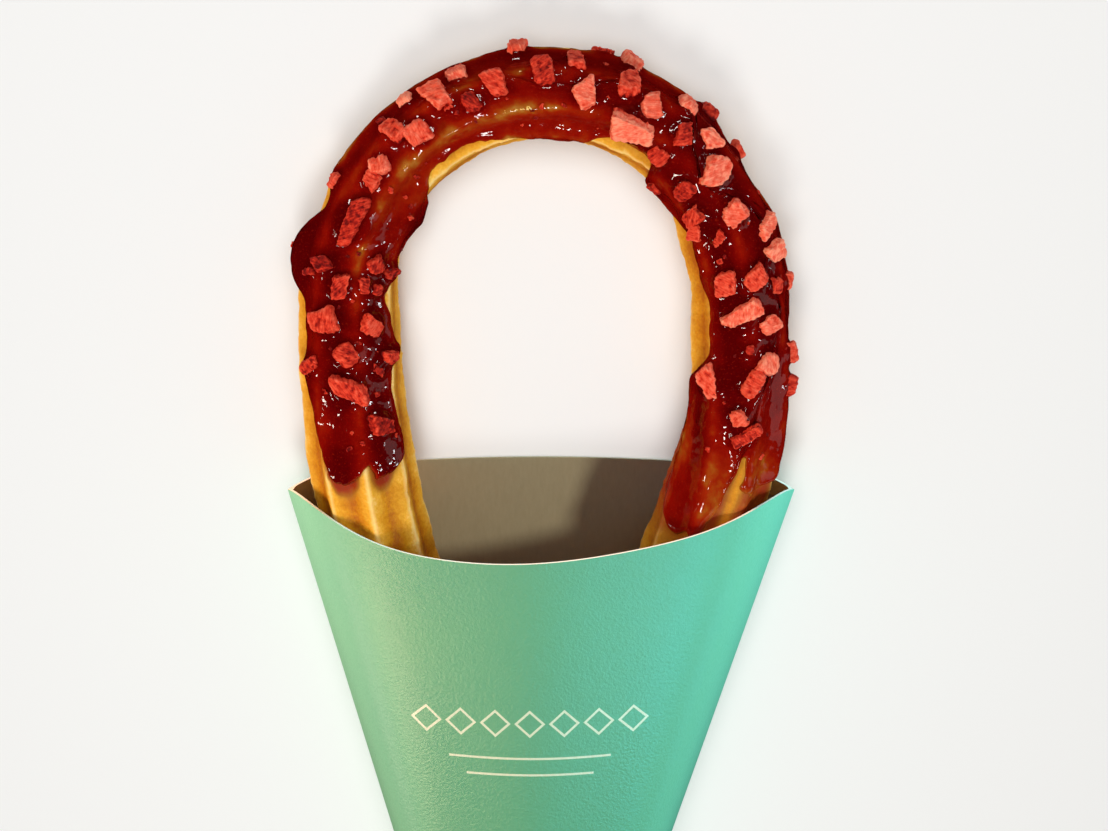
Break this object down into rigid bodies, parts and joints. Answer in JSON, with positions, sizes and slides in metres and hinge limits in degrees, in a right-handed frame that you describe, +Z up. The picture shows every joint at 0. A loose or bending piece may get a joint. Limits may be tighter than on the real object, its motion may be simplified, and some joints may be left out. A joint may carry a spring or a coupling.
{
  "type": "loop churro in a card sleeve",
  "caption": "Ridged fried-dough loop with both legs held in a tapered card sleeve, lying on its back with the front up.",
  "frame": {"origin": "middle of the underside of the whole part, on the table it lies on", "axes": "+Z up, out of the front of the sleeve; +Y from the sleeve's closed foot to the crown of the loop; +X across, towards the right as the front is seen with the crown away"},
  "size_m": [0.1022, 0.1926, 0.0261],
  "materials": {
    "dough": "matt fried crust",
    "card": "satin mint-green card, uncoated inside"
  },
  "bodies": {
    "root": {"churro": "dough", "sleeve": "card"}
  },
  "joints": []
}
